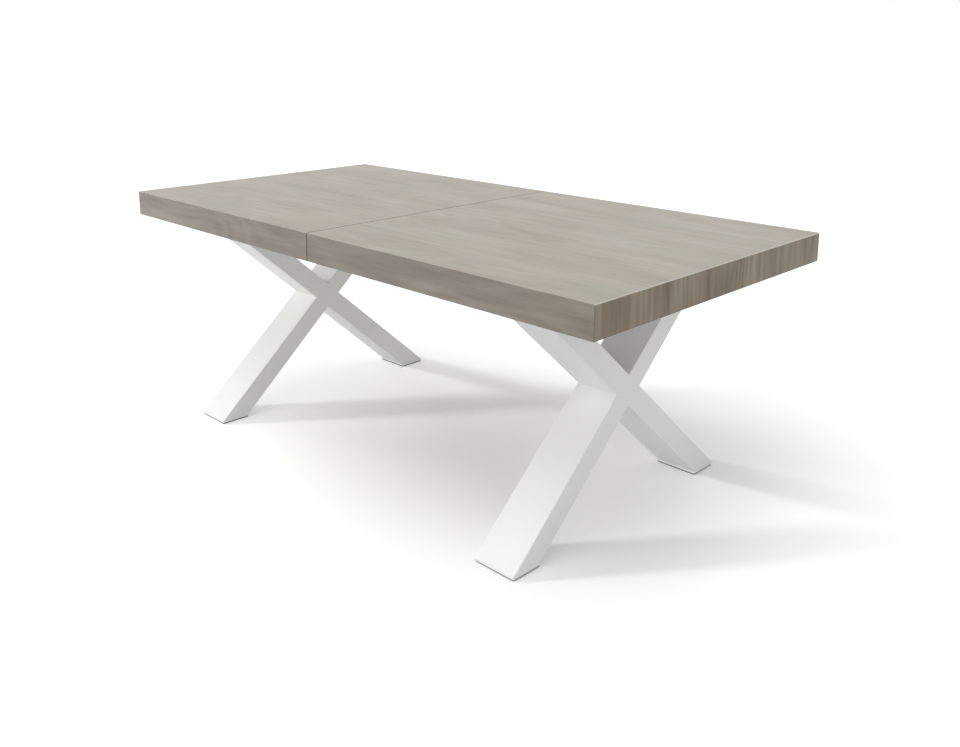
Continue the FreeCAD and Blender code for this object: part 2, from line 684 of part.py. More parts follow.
def make_carriage():
    """Two middle rails tied by two straps, which are also the tray that the leaves lie on."""
    caps = []
    for face, side in ((-1, "front"), (1, "back")):
        make_middle_rail(face, side)
        for sign in (-1, 1):
            centre = f"{MIDDLE_RAIL_END} + sizes.end_cap / 2"
            cap = new_body("end_cap", x=along(sign, centre))
            corners = rail_section(face, ZERO)
            pad(cap, outline(cap, "YZ_Plane", corners), "sizes.end_cap", both_ways=True)
            caps.append(cap)
    group("rail_end_caps", caps)

    for sign, side in ((-1, "left"), (1, "right")):
        strap = new_body(f"{side}_tray_strap", z=f"{STRAP_TOP} - sizes.strap")
        near = f"{STRAP_END} - sizes.strap_width"
        corners = rectangle(sign, near, STRAP_END, f"-{RAIL_MID}", RAIL_MID)
        pad(strap, outline(strap, "XY_Plane", corners), "sizes.strap")
        rows = [point for point in strap_screw_rows() if point[0] == along(sign, STRAP_X)]
        holes = circles(strap, "XY_Plane", rows, SCREW_HOLE)
        cut(strap, holes, f"sizes.strap + {CUT_MARGIN}", forwards=True)
        node(strap, f"{side}_tray_strap")

    screws = [
        screw("strap_screw", across, back, f"{STRAP_TOP} - sizes.strap", "sizes.screw_radius",
              "sizes.strap_screw_bite", "sizes.screw_head_radius", "sizes.screw_head")
        for across, back in strap_screw_rows()
    ]
    group("strap_screws", screws)

    felts = []
    stops = []
    for sign in (-1, 1):
        felt_x = f"{along(sign, f'{SIDE} - sizes.felt_width / 2')} - sizes.felt_width / 2"
        for low in (STRAP_TOP, f"{UPPER_LEAF} - sizes.felt"):
            size = ("sizes.felt_width", "sizes.leaf_width", "sizes.felt")
            felts.append(box("felt", (felt_x, "-sizes.leaf_width / 2", low), size))
        stop_middle = f"{SIDE} + sizes.stop_gap + sizes.stop_block / 2"
        for face in (-1, 1):
            low = (
                f"{along(sign, stop_middle)} - sizes.stop_block / 2",
                f"{along(face, 'sizes.stop_block_spread / 2')} - sizes.stop_block_length / 2",
                STRAP_TOP,
            )
            size = ("sizes.stop_block", "sizes.stop_block_length", "sizes.stop_block_height")
            stops.append(box("leaf_stop", low, size))
    group("leaf_felts", felts)
    group("leaf_stops", stops)


def top_edges(board):
    """Names of the edges round a board's upper face."""
    top = board.Shape.BoundBox.ZMax
    names = []
    for number, edge in enumerate(board.Shape.Edges, start=1):
        if abs(edge.BoundBox.ZMin - top) < TOUCHING:
            names.append(f"Edge{number}")
    return names


def make_leaf(name, low):
    """A loose leaf as it is stored, its full width lying along the table."""
    body = new_body(name, z=low)
    half_leaf = "sizes.leaf_width / 2"
    corners = rectangle(1, f"-{SIDE}", SIDE, f"-{half_leaf}", half_leaf)
    pad(body, outline(body, "XY_Plane", corners), "sizes.board")
    row = [(step, "sizes.board / 2") for step in DOWEL_ROW]
    slack = "sizes.dowel_clearance"
    sockets = circles(body, "XZ_Plane", row, f"sizes.dowel_radius + {slack}", lift=half_leaf)
    cut(body, sockets, f"2 * (sizes.dowel_reach + {slack})", both_ways=True)
    slack = "sizes.hole_clearance"
    glued = circles(body, "XZ_Plane", row, f"sizes.dowel_radius + {slack}", lift=f"-({half_leaf})")
    cut(body, glued, f"2 * (sizes.dowel_length - sizes.dowel_reach + {slack})", both_ways=True)
    board = body.Tip
    edges = top_edges(board)
    ease = body.newObject("PartDesign::Chamfer", f"{name}_ease")
    ease.Base = (board, edges)
    ease.setExpression("Size", HALF_ARRIS)
    doc.recompute()
    node(body, name)

    root = f"{half_leaf} - (sizes.dowel_length - sizes.dowel_reach)"
    height = f"{low} + sizes.board / 2"
    pointing_back = (LENGTHWAYS, -QUARTER)
    make_dowels(f"{name}_dowels", pointing_back, [(step, root, height) for step in DOWEL_ROW])


for half, sign in (("left", -1), ("right", 1)):
    make_panel(half, sign)
    for face, side in ((-1, "front"), (1, "back")):
        make_side_apron(half, sign, face, side)
        make_half_rail(half, sign, face, side)
    make_end_apron(half, sign)
    make_corner_blocks(half, sign)
    make_rail_trim(half, sign)
    make_x_frame(half, sign)
    make_leg_mount(half, sign)
    make_feet(half, sign)
make_seam_fittings()
make_carriage()
make_leaf("upper_leaf", UPPER_LEAF)
make_leaf("lower_leaf", LOWER_LEAF)
doc.recompute()

for item in doc.Objects:
    if "Invalid" in item.State or "Error" in item.State:
        raise RuntimeError(f"{item.Label} failed: {item.State}")
for piece in nodes:
    if piece.Shape.isNull() or not piece.Shape.isValid():
        raise RuntimeError(f"{piece.Label} has no valid shape")

os.makedirs("parts", exist_ok=True)
for piece in nodes:
    piece.Shape.exportStep(f"parts/{piece.Label}.step")
print(len(nodes), "pieces")
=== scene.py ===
import math

import bpy
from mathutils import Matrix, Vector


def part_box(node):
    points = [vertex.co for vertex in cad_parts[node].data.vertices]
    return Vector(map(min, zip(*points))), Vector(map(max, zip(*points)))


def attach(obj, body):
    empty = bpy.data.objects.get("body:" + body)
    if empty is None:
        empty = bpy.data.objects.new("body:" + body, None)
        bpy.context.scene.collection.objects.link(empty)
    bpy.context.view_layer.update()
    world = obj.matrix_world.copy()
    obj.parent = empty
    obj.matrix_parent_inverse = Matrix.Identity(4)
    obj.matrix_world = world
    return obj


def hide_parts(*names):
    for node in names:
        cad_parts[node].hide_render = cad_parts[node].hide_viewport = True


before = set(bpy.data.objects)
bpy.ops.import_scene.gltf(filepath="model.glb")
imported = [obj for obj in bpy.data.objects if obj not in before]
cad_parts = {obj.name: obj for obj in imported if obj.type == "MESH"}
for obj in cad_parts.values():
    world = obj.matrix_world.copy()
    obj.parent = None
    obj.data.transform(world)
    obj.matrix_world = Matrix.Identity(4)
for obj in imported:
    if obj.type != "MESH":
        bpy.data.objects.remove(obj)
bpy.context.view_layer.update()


# The two half tops: boards and aprons wrapped in grey-beige wood-grain laminate, folded at the mitres.
# One sheet runs over the whole half, so the grain lies along the long sides and stands upright at the ends.
# The mitred boards come from the frame as they are, and only take their finish here.
def add_node(tree, kind, sources=None, **settings):
    """Adds a node, sets its properties and feeds its inputs with links or values."""
    node = tree.nodes.new(kind)
    for name, setting in settings.items():
        setattr(node, name, setting)
    for key, source in (sources or {}).items():
        socket = node.inputs[key]
        if isinstance(source, bpy.types.NodeSocket):
            tree.links.new(source, socket)
        else:
            socket.default_value = source
    return node


def maths(tree, operation, first, second=0.0):
    """A sum on two numbers or patterns, or on the first alone."""
    return add_node(tree, "ShaderNodeMath", {0: first, 1: second}, operation=operation).outputs[0]


def bare_finish(name):
    """A new material with its shader, and the tree and Object coordinates to build its look from."""
    material = bpy.data.materials.new(name)
    material.use_nodes = True
    tree = material.node_tree
    coords = tree.nodes.new("ShaderNodeTexCoord").outputs["Object"]
    return material, tree, tree.nodes["Principled BSDF"], coords


def stretched_noise(tree, coords, along, across, detail, roughness=0.5, waver=0.0):
    """Noise drawn out along x: along and across are how many features a metre holds each way."""
    scale = (along, across, across)
    stretched = add_node(tree, "ShaderNodeMapping", {"Vector": coords, "Scale": scale}).outputs[0]
    sources = {"Vector": stretched, "Scale": 1.0, "Detail": detail}
    sources |= {"Roughness": roughness, "Distortion": waver}
    return add_node(tree, "ShaderNodeTexNoise", sources).outputs["Fac"]


def colour_steps(tree, value, steps):
    """A colour ramp from pairs of place and colour."""
    ramp = add_node(tree, "ShaderNodeValToRGB", {"Fac": value})
    while len(ramp.color_ramp.elements) < len(steps):
        ramp.color_ramp.elements.new(0.5)
    for element, (place, colour) in zip(ramp.color_ramp.elements, steps):
        element.position = place
        element.color = (*colour, 1.0)
    return ramp.outputs["Color"]


# A Mix node's two colour inputs and its colour output, by number, because its sockets share their names.
MIX_UNDER, MIX_OVER, MIX_RESULT = 6, 7, 2


def laid_over(tree, share, under, over, **settings):
    """A colour that covers another by a share from nought to one."""
    layers = {"Factor": share, MIX_UNDER: under, MIX_OVER: over}
    return add_node(tree, "ShaderNodeMix", layers, data_type="RGBA", **settings).outputs[MIX_RESULT]


def glazed(tree, under, over):
    """A colour multiplied over another, as a glaze that tints or darkens it."""
    return laid_over(tree, 1.0, under, over, blend_type="MULTIPLY")


def set_gloss(tree, shader, pattern, smoothest, dullest):
    """Lets the roughness follow a pattern between two levels."""
    spread = {"Value": pattern, "From Min": 0.3, "From Max": 0.7, "To Min": smoothest, "To Max": dullest}
    tree.links.new(add_node(tree, "ShaderNodeMapRange", spread).outputs[0], shader.inputs["Roughness"])


def set_relief(tree, shader, height, strength, depth):
    """Raises a pattern as fine relief, with its depth in metres."""
    bump = add_node(tree, "ShaderNodeBump", {"Strength": strength, "Distance": depth, "Height": height})
    tree.links.new(bump.outputs[0], shader.inputs["Normal"])


def dress(material, *names):
    """Gives CAD nodes a finish."""
    for name in names:
        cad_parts[name].material_slots[0].material = material


def laminate(name, turn, shift, tones, contrast):
    """Wood-grain sheet. Turn and shift unfold it, so that x runs along the grain and y across it."""
    material, tree, shader, coords = bare_finish(name)
    turned = [math.radians(angle) for angle in turn]
    placing = {"Vector": coords, "Rotation": turned, "Location": shift}
    sheet = add_node(tree, "ShaderNodeMapping", placing).outputs[0]

    patches = stretched_noise(tree, sheet, along=2.2, across=10.0, detail=2.0, waver=0.45)
    streaks = stretched_noise(tree, sheet, along=3.4, across=40.0, detail=4.0, roughness=0.62, waver=0.35)
    fibres = stretched_noise(tree, sheet, along=8.0, across=330.0, detail=3.0, roughness=0.6)
    pores = stretched_noise(tree, sheet, along=26.0, across=620.0, detail=2.0, roughness=0.7)
    dashes = stretched_noise(tree, sheet, along=5.0, across=85.0, detail=3.0, roughness=0.55, waver=0.5)

    rings_per_metre = 26.0
    ring_bend = 16.0
    across = add_node(tree, "ShaderNodeSeparateXYZ", {0: sheet}).outputs["Y"]
    straight = maths(tree, "MULTIPLY", across, rings_per_metre)
    bend = stretched_noise(tree, sheet, along=0.8, across=3.2, detail=2.0)
    bent = maths(tree, "ADD", straight, maths(tree, "MULTIPLY", bend, ring_bend))
    rings = maths(tree, "SINE", maths(tree, "MULTIPLY", bent, 2.0 * math.pi))

    noise_mean = 0.5
    middle_tone = 0.5
    level = maths(tree, "MULTIPLY", rings, 0.05)
    for pattern, weight in ((patches, 0.72), (streaks, 0.5), (fibres, 0.26)):
        swing = maths(tree, "SUBTRACT", pattern, noise_mean)
        level = maths(tree, "ADD", level, maths(tree, "MULTIPLY", swing, weight))
    level = maths(tree, "ADD", maths(tree, "MULTIPLY", level, contrast), middle_tone)
    colour = colour_steps(tree, level, tones)

    warmth = stretched_noise(tree, sheet, along=2.6, across=9.0, detail=2.0, waver=0.4)
    tint = colour_steps(tree, warmth, [(0.3, (0.98, 1.0, 0.98)), (0.7, (1.02, 0.988, 0.998))])
    pits = colour_steps(tree, pores, [(0.62, (1.0, 1.0, 1.0)), (0.78, (0.78, 0.77, 0.76))])
    marks = colour_steps(tree, dashes, [(0.6, (1.0, 1.0, 1.0)), (0.74, (0.83, 0.815, 0.8))])
    for glaze in (tint, pits, marks):
        colour = glazed(tree, colour, glaze)
    tree.links.new(colour, shader.inputs["Base Color"])

    set_gloss(tree, shader, fibres, smoothest=0.42, dullest=0.54)
    sunk_pores = maths(tree, "MULTIPLY", pores, 0.6)
    set_relief(tree, shader, maths(tree, "SUBTRACT", fibres, sunk_pores), strength=0.12, depth=0.0003)
    return material


HALF_LENGTH = 1.0
HALF_WIDTH = 0.5
HEIGHT = 0.76
BOARD = 0.022
# Painted shade by the seam: the reach and tone of a dark band on the laminate beside it.
SEAM_SHADE_REACH = (0.003, 0.0016)
# Painted highlight along the end folds: the reach and tone of a pale line there.
FOLD_HIGHLIGHT_REACH = (0.003, 0.0017)
PAPER_MARGIN = 0.0005
SEAM_SHADE_TONE = (0.155, 0.14, 0.12, 1.0)
FOLD_HIGHLIGHT_TONE = (0.56, 0.53, 0.48, 1.0)
PAPER_TONES = [(0.3, (0.36, 0.335, 0.3)), (0.7, (0.4, 0.375, 0.34))]


def edge_lines(material):
    """Adds painted shade by the seam, a painted highlight at the end folds, and paper inside."""
    tree = material.node_tree
    coords = tree.nodes.new("ShaderNodeTexCoord").outputs["Object"]
    place = add_node(tree, "ShaderNodeSeparateXYZ", {0: coords}).outputs
    from_seam = maths(tree, "ABSOLUTE", place["X"])
    from_middle = maths(tree, "ABSOLUTE", place["Y"])

    # Painted shade: a dark band on the laminate within a few millimetres of the seam.
    fade, full = SEAM_SHADE_REACH
    seam_shade_place = {"Value": from_seam, "From Min": fade, "From Max": full}
    seam_shade = add_node(tree, "ShaderNodeMapRange", seam_shade_place).outputs[0]

    # Painted highlight: a pale line along the folds where the top meets the end aprons.
    fade, full = FOLD_HIGHLIGHT_REACH
    fold = HALF_LENGTH + HEIGHT
    fold_highlight_place = {"Value": maths(tree, "ADD", from_seam, place["Z"])}
    fold_highlight_place |= {"From Min": fold - fade, "From Max": fold - full}
    fold_highlight = add_node(tree, "ShaderNodeMapRange", fold_highlight_place).outputs[0]

    inside = 1.0
    for distance, reach in ((from_seam, HALF_LENGTH), (from_middle, HALF_WIDTH), (place["Z"], HEIGHT)):
        within = maths(tree, "LESS_THAN", distance, reach - BOARD + PAPER_MARGIN)
        inside = maths(tree, "MULTIPLY", inside, within)
    mottle = stretched_noise(tree, coords, along=90.0, across=90.0, detail=3.0)
    paper = colour_steps(tree, mottle, PAPER_TONES)

    base_colour = tree.nodes["Principled BSDF"].inputs["Base Color"]
    colour = base_colour.links[0].from_socket
    for share, tone in ((seam_shade, SEAM_SHADE_TONE), (fold_highlight, FOLD_HIGHLIGHT_TONE), (inside, paper)):
        colour = laid_over(tree, share, colour, tone)
    tree.links.new(colour, base_colour)


SHEET_GAP = 3.1
TOP_CONTRAST, SIDE_CONTRAST, END_CONTRAST = 1.05, 1.3, 1.8
# The tones are lit and shaded copies of one laminate: the top's painted lighter for the light and sheen on it,
# the sides' and ends' painted darker for their shade.
TOP_TONES_PAINTED_LIGHT = [(0.1, (0.275, 0.236, 0.193)), (0.5, (0.366, 0.33, 0.28)), (0.9, (0.447, 0.415, 0.362))]
SIDE_TONES_PAINTED_SHADE = [(0.1, (0.15, 0.125, 0.1)), (0.5, (0.236, 0.206, 0.173)), (0.9, (0.304, 0.274, 0.233))]
END_TONES_PAINTED_SHADE = [(0.1, (0.112, 0.077, 0.045)), (0.5, (0.194, 0.151, 0.099)), (0.9, (0.276, 0.232, 0.172))]
for half, sign in (("left", -1.0), ("right", 1.0)):
    sheet_x = sign * SHEET_GAP
    flat = laminate(f"{half} top laminate", (0, 0, 0), (sheet_x, 0, -HEIGHT), TOP_TONES_PAINTED_LIGHT, TOP_CONTRAST)
    edge_lines(flat)
    dress(flat, f"{half}_top_panel")
    for face, side in ((-1.0, "front"), (1.0, "back")):
        shift = (sheet_x, face * (HALF_WIDTH + HEIGHT), -HALF_WIDTH)
        lying = laminate(f"{half} {side} laminate", (face * 90, 0, 0), shift, SIDE_TONES_PAINTED_SHADE, SIDE_CONTRAST)
        edge_lines(lying)
        dress(lying, f"{half}_{side}_apron")
    shift = (sheet_x + sign * (HALF_LENGTH + HEIGHT), 0, -HALF_LENGTH)
    upright = laminate(f"{half} end laminate", (0, -sign * 90, 0), shift, END_TONES_PAINTED_SHADE, END_CONTRAST)
    edge_lines(upright)
    dress(upright, f"{half}_end_apron")


# The glued blocks: three-cornered blocks in the outer corners, and the bearers that the legs are bolted to.
# They are plain sanded beech, with its short dark flecks.
def beech(name, turn):
    """Sanded beech, turned so that x runs along the grain."""
    material, tree, shader, coords = bare_finish(name)
    turned = [math.radians(angle) for angle in turn]
    grain = add_node(tree, "ShaderNodeMapping", {"Vector": coords, "Rotation": turned}).outputs[0]
    streaks = stretched_noise(tree, grain, along=4.0, across=70.0, detail=3.0, roughness=0.6)
    flecks = stretched_noise(tree, grain, along=120.0, across=900.0, detail=1.0)
    wood = colour_steps(tree, streaks, [(0.3, (0.5, 0.34, 0.2)), (0.7, (0.66, 0.49, 0.32))])
    specks = colour_steps(tree, flecks, [(0.62, (1.0, 1.0, 1.0)), (0.74, (0.7, 0.62, 0.55))])
    tree.links.new(glazed(tree, wood, specks), shader.inputs["Base Color"])
    set_relief(tree, shader, streaks, strength=0.15, depth=0.0003)
    shader.inputs["Roughness"].default_value = 0.62
    return material


upright_beech = beech("upright beech", (0, 90, 0))
lying_beech = beech("lying beech", (0, 0, 90))
for half in ("left", "right"):
    dress(upright_beech, f"{half}_corner_blocks")
    dress(lying_beech, f"{half}_front_bearer", f"{half}_back_bearer")


# The slides: aluminium extrusions, a channel screwed under each side of a half and a tongued rail between.
# Anodised after drawing, so the faces keep faint lines along their length.
def anodised(name):
    """Dull aluminium with drawing lines along x."""
    material, tree, shader, coords = bare_finish(name)
    lines = stretched_noise(tree, coords, along=1.5, across=900.0, detail=3.0, roughness=0.6)
    tone = colour_steps(tree, lines, [(0.3, (0.62, 0.63, 0.64)), (0.7, (0.76, 0.77, 0.78))])
    tree.links.new(tone, shader.inputs["Base Color"])
    set_gloss(tree, shader, lines, smoothest=0.3, dullest=0.44)
    set_relief(tree, shader, lines, strength=0.05, depth=0.0002)
    shader.inputs["Metallic"].default_value = 1.0
    return material


rail_finish = anodised("anodised aluminium")
dress(rail_finish, "front_middle_rail", "back_middle_rail")
for half in ("left", "right"):
    dress(rail_finish, f"{half}_front_half_rail", f"{half}_back_half_rail")


# The plastic fittings: liners in the channels, caps on the middle rails, leaf stops and magnet housings.
# They are moulded in near-black plastic with a fine spark-eroded texture.
def moulded(name):
    """Dark plastic with the mould's own fine texture."""
    material, tree, shader, coords = bare_finish(name)
    texture = stretched_noise(tree, coords, along=1400.0, across=1400.0, detail=2.0)
    tone = colour_steps(tree, texture, [(0.3, (0.035, 0.036, 0.038)), (0.7, (0.055, 0.056, 0.059))])
    tree.links.new(tone, shader.inputs["Base Color"])
    set_relief(tree, shader, texture, strength=0.2, depth=0.0002)
    shader.inputs["Roughness"].default_value = 0.5
    return material


plastic = moulded("moulded dark plastic")
dress(plastic, "left_rail_liners", "right_rail_liners", "rail_end_caps", "leaf_stops", "seam_magnets")


# The steel fittings: tray straps, magnet strikes and the pins that end the slides' travel.
# They are pressed or turned from mild steel and zinc plated, with a faint spangle.
def zinc_plated(name):
    """Plated steel, cloudy with the plating's spangle."""
    material, tree, shader, coords = bare_finish(name)
    spangle = stretched_noise(tree, coords, along=160.0, across=160.0, detail=4.0, roughness=0.6)
    tone = colour_steps(tree, spangle, [(0.3, (0.5, 0.51, 0.53)), (0.7, (0.66, 0.67, 0.68))])
    tree.links.new(tone, shader.inputs["Base Color"])
    set_gloss(tree, shader, spangle, smoothest=0.28, dullest=0.42)
    shader.inputs["Metallic"].default_value = 1.0
    return material


zinc = zinc_plated("zinc plated steel")
dress(zinc, "left_tray_strap", "right_tray_strap", "seam_strikes", "left_stop_pins", "right_stop_pins")


# The screws that hold the channels under the panels and the straps under the middle rails.
# Zinc plated steel, with low tapered heads and a cross recess, driven in from below.
def rule_tree(name, inputs):
    """An empty Geometry Nodes tree with named sizes, its input sockets and its output node."""
    tree = bpy.data.node_groups.new(name, "GeometryNodeTree")
    tree.interface.new_socket("Geometry", in_out="OUTPUT", socket_type="NodeSocketGeometry")
    for label, kind in inputs.items():
        tree.interface.new_socket(label, in_out="INPUT", socket_type=kind)
    sizes = tree.nodes.new("NodeGroupInput").outputs
    return tree, sizes, tree.nodes.new("NodeGroupOutput")


def rule_end(tree, output, geometry, finish):
    """Closes a tree: instances made real, one finish all over."""
    real = add_node(tree, "GeometryNodeRealizeInstances", {0: geometry}).outputs[0]
    coated = add_node(tree, "GeometryNodeSetMaterial", {"Geometry": real, "Material": finish}).outputs[0]
    tree.links.new(coated, output.inputs[0])


def made_by_rule(name, tree, sizes):
    """A plain mesh object that a tree makes with the sizes given."""
    piece = bpy.data.objects.new(name, bpy.data.meshes.new(name))
    bpy.context.scene.collection.objects.link(piece)
    rule = piece.modifiers.new("rule", "NODES")
    rule.node_group = tree
    for item in tree.interface.items_tree:
        if item.in_out == "INPUT":
            rule[item.identifier] = sizes[item.name]
    settled = piece.evaluated_get(bpy.context.evaluated_depsgraph_get())
    piece.data = bpy.data.meshes.new_from_object(settled)
    piece.modifiers.remove(rule)
    return piece


def vector(tree, x=0.0, y=0.0, z=0.0):
    """A place or a size from its three numbers."""
    return add_node(tree, "ShaderNodeCombineXYZ", {0: x, 1: y, 2: z}).outputs[0]


def moved(tree, geometry, place):
    """A shape carried to a place."""
    return add_node(tree, "GeometryNodeTransform", {"Geometry": geometry, "Translation": place}).outputs[0]


def cut_away(tree, shape, tool):
    """A shape with the room of a tool taken out of it."""
    pair = {"Mesh 1": shape, "Mesh 2": tool}
    return add_node(tree, "GeometryNodeMeshBoolean", pair, operation="DIFFERENCE", solver="EXACT").outputs[0]


def set_out(tree, points, shape):
    """A shape repeated at points."""
    repeats = {"Points": points, "Instance": shape}
    return add_node(tree, "GeometryNodeInstanceOnPoints", repeats).outputs[0]


SCREW_HEAD_RADIUS = 0.004
SCREW_HEAD_DEPTH = 0.0025
SCREW_HEAD_SIDES = 20
SCREW_CROWN = 0.72
SLOT_LENGTH = 1.1
SLOT_WIDTH = 0.22
SLOT_CENTRE = -0.35


def screw_tree():
    """Two mirrored rows of screw heads that hang below a face."""
    labels = ("Pitch", "Start", "Row", "Face", "Head radius", "Head depth")
    inputs = {label: "NodeSocketFloat" for label in labels} | {"Count": "NodeSocketInt"}
    tree, sizes, output = rule_tree("cross recessed screws", inputs)
    radius = sizes["Head radius"]
    depth = sizes["Head depth"]
    crown = maths(tree, "MULTIPLY", radius, SCREW_CROWN)
    cone = {"Vertices": SCREW_HEAD_SIDES, "Radius Top": radius, "Radius Bottom": crown, "Depth": depth}
    head = add_node(tree, "GeometryNodeMeshCone", cone).outputs["Mesh"]
    length = maths(tree, "MULTIPLY", radius, SLOT_LENGTH)
    width = maths(tree, "MULTIPLY", radius, SLOT_WIDTH)
    low = vector(tree, 0.0, 0.0, maths(tree, "MULTIPLY", depth, SLOT_CENTRE))
    for x, y in ((length, width), (width, length)):
        slot = add_node(tree, "GeometryNodeMeshCube", {"Size": vector(tree, x, y, depth)}).outputs["Mesh"]
        head = cut_away(tree, head, moved(tree, slot, low))
    rows = add_node(tree, "GeometryNodeJoinGeometry")
    hang = maths(tree, "SUBTRACT", sizes["Face"], depth)
    for face in (-1.0, 1.0):
        first = vector(tree, sizes["Start"], maths(tree, "MULTIPLY", sizes["Row"], face), hang)
        step = vector(tree, sizes["Pitch"])
        line = {"Count": sizes["Count"], "Start Location": first, "Offset": step}
        tree.links.new(add_node(tree, "GeometryNodeMeshLine", line).outputs[0], rows.inputs[0])
    rule_end(tree, output, set_out(tree, rows.outputs[0], head), zinc)
    return tree


screws = screw_tree()
for name, node, body, count in (
    ("left_channel_screws", "left_rail_screws", "left_half", 4),
    ("right_channel_screws", "right_rail_screws", "right_half", 4),
    ("tray_strap_screws", "strap_screws", "carriage", 2),
):
    low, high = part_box(node)
    reach = high.x - low.x - 2.0 * SCREW_HEAD_RADIUS
    sizes = {"Count": count, "Pitch": reach / (count - 1), "Start": low.x + SCREW_HEAD_RADIUS}
    sizes |= {"Row": high.y - SCREW_HEAD_RADIUS, "Face": low.z + SCREW_HEAD_DEPTH}
    sizes |= {"Head radius": SCREW_HEAD_RADIUS, "Head depth": SCREW_HEAD_DEPTH}
    piece = made_by_rule(name, screws, sizes)
    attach(piece, body)
    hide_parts(node)


# The stored leaves: two boards in the same laminate, laid a quarter turn round in the carriage's tray.
# Their grain runs along the table once they are set in, so here it lies across it.
for name, sheet_x in (("upper_leaf", 7.3), ("lower_leaf", 9.9)):
    # The leaves take the top's tones, painted lighter for the light and sheen that fall on the top.
    stored = laminate(f"{name} laminate", (0, 0, 90), (sheet_x, 0, 0), TOP_TONES_PAINTED_LIGHT, TOP_CONTRAST)
    dress(stored, name)


# The felts under the leaves: strips of pressed grey felt that keep the laminate from scratches.
# They are glued to the straps and to the lower leaf.
def pressed_felt(name):
    """Grey felt with its hairs lying all ways."""
    material, tree, shader, coords = bare_finish(name)
    hairs = stretched_noise(tree, coords, along=700.0, across=700.0, detail=4.0, roughness=0.7)
    tone = colour_steps(tree, hairs, [(0.3, (0.08, 0.08, 0.085)), (0.7, (0.16, 0.16, 0.17))])
    tree.links.new(tone, shader.inputs["Base Color"])
    set_relief(tree, shader, hairs, strength=0.5, depth=0.0004)
    shader.inputs["Roughness"].default_value = 0.95
    return material


felt = pressed_felt("pressed felt")
dress(felt, "leaf_felts")


# The dowels: smooth beech pegs with their grain along them, three to an edge.
# They are glued into one edge and left standing out to find the sockets opposite.
dress(beech("dowel beech along", (0, 0, 0)), "seam_dowels")
dress(beech("dowel beech across", (0, 0, 90)), "upper_leaf_dowels", "lower_leaf_dowels")


# The X frames: rectangular steel tube, cut level at both ends, crossed and welded, the welds ground flush.
# Powder coated in satin white, which leaves a fine orange peel.
def white_coat(name):
    """Satin white powder coat with its peel."""
    material, tree, shader, coords = bare_finish(name)
    peel = stretched_noise(tree, coords, along=620.0, across=620.0, detail=2.0)
    cloud = stretched_noise(tree, coords, along=5.0, across=5.0, detail=2.0)
    tone = colour_steps(tree, cloud, [(0.3, (0.845, 0.845, 0.84)), (0.7, (0.87, 0.87, 0.865))])
    tree.links.new(tone, shader.inputs["Base Color"])
    set_gloss(tree, shader, peel, smoothest=0.34, dullest=0.44)
    set_relief(tree, shader, peel, strength=0.06, depth=0.0002)
    return material


TUBE_CORNER = 0.003
CORNER_STEPS = 5
SEAM_CLOSING = 0.00001


def rounded_prism(tree, width, length, corner, base, rise):
    """A closed prism on a round-cornered rectangle, which starts at base and goes along rise."""
    plan = {"Width": width, "Height": length}
    outline = add_node(tree, "GeometryNodeCurvePrimitiveQuadrilateral", plan).outputs[0]
    rounding = {"Curve": outline, "Count": CORNER_STEPS, "Radius": corner}
    outline = add_node(tree, "GeometryNodeFilletCurve", rounding, mode="POLY").outputs[0]
    sheet = add_node(tree, "GeometryNodeFillCurve", {"Curve": outline}, mode="NGONS").outputs[0]
    bottom = moved(tree, sheet, base)
    pulled = {"Mesh": bottom, "Offset": rise, "Individual": False}
    walls = add_node(tree, "GeometryNodeExtrudeMesh", pulled).outputs[0]
    under = add_node(tree, "GeometryNodeFlipFaces", {"Mesh": bottom}).outputs[0]
    both = add_node(tree, "GeometryNodeJoinGeometry")
    tree.links.new(walls, both.inputs[0])
    tree.links.new(under, both.inputs[0])
    closing = {"Geometry": both.outputs[0], "Distance": SEAM_CLOSING}
    return add_node(tree, "GeometryNodeMergeByDistance", closing).outputs[0]


def crossed_tubes_tree(finish):
    """Two leaning tubes that meet as one X."""
    labels = ("Middle", "Depth", "Cut", "Corner", "Foot spread", "Top spread", "Bottom", "Top")
    tree, sizes, output = rule_tree("crossed tubes", {label: "NodeSocketFloat" for label in labels})
    foot = maths(tree, "MULTIPLY", sizes["Foot spread"], 0.5)
    lean = maths(tree, "MULTIPLY", maths(tree, "ADD", sizes["Foot spread"], sizes["Top spread"]), 0.5)
    rise = maths(tree, "SUBTRACT", sizes["Top"], sizes["Bottom"])
    weld = add_node(tree, "GeometryNodeMeshBoolean", operation="UNION", solver="EXACT")
    for face in (-1.0, 1.0):
        base = vector(tree, sizes["Middle"], maths(tree, "MULTIPLY", foot, face), sizes["Bottom"])
        run = vector(tree, 0.0, maths(tree, "MULTIPLY", lean, -face), rise)
        tube = rounded_prism(tree, sizes["Depth"], sizes["Cut"], sizes["Corner"], base, run)
        tree.links.new(tube, weld.inputs["Mesh 2"])
    rule_end(tree, output, weld.outputs[0], finish)
    return tree


coat = white_coat("satin white powder coat")
crossed_tubes = crossed_tubes_tree(coat)
for half in ("left", "right"):
    through_low, through_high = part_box(f"{half}_leg_through_bar")
    foot_low, foot_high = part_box(f"{half}_front_foot_plate")
    cut = foot_high.y - foot_low.y
    sizes = {"Middle": (foot_low.x + foot_high.x) / 2.0, "Depth": foot_high.x - foot_low.x}
    sizes |= {"Cut": cut, "Corner": TUBE_CORNER, "Foot spread": -(foot_low.y + foot_high.y)}
    sizes |= {"Top spread": 2.0 * through_high.y - cut, "Bottom": through_low.z, "Top": through_high.z}
    piece = made_by_rule(f"{half}_x_frame", crossed_tubes, sizes)
    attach(piece, f"{half}_half")
    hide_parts(f"{half}_leg_through_bar", f"{half}_leg_upper_arm", f"{half}_leg_lower_arm")


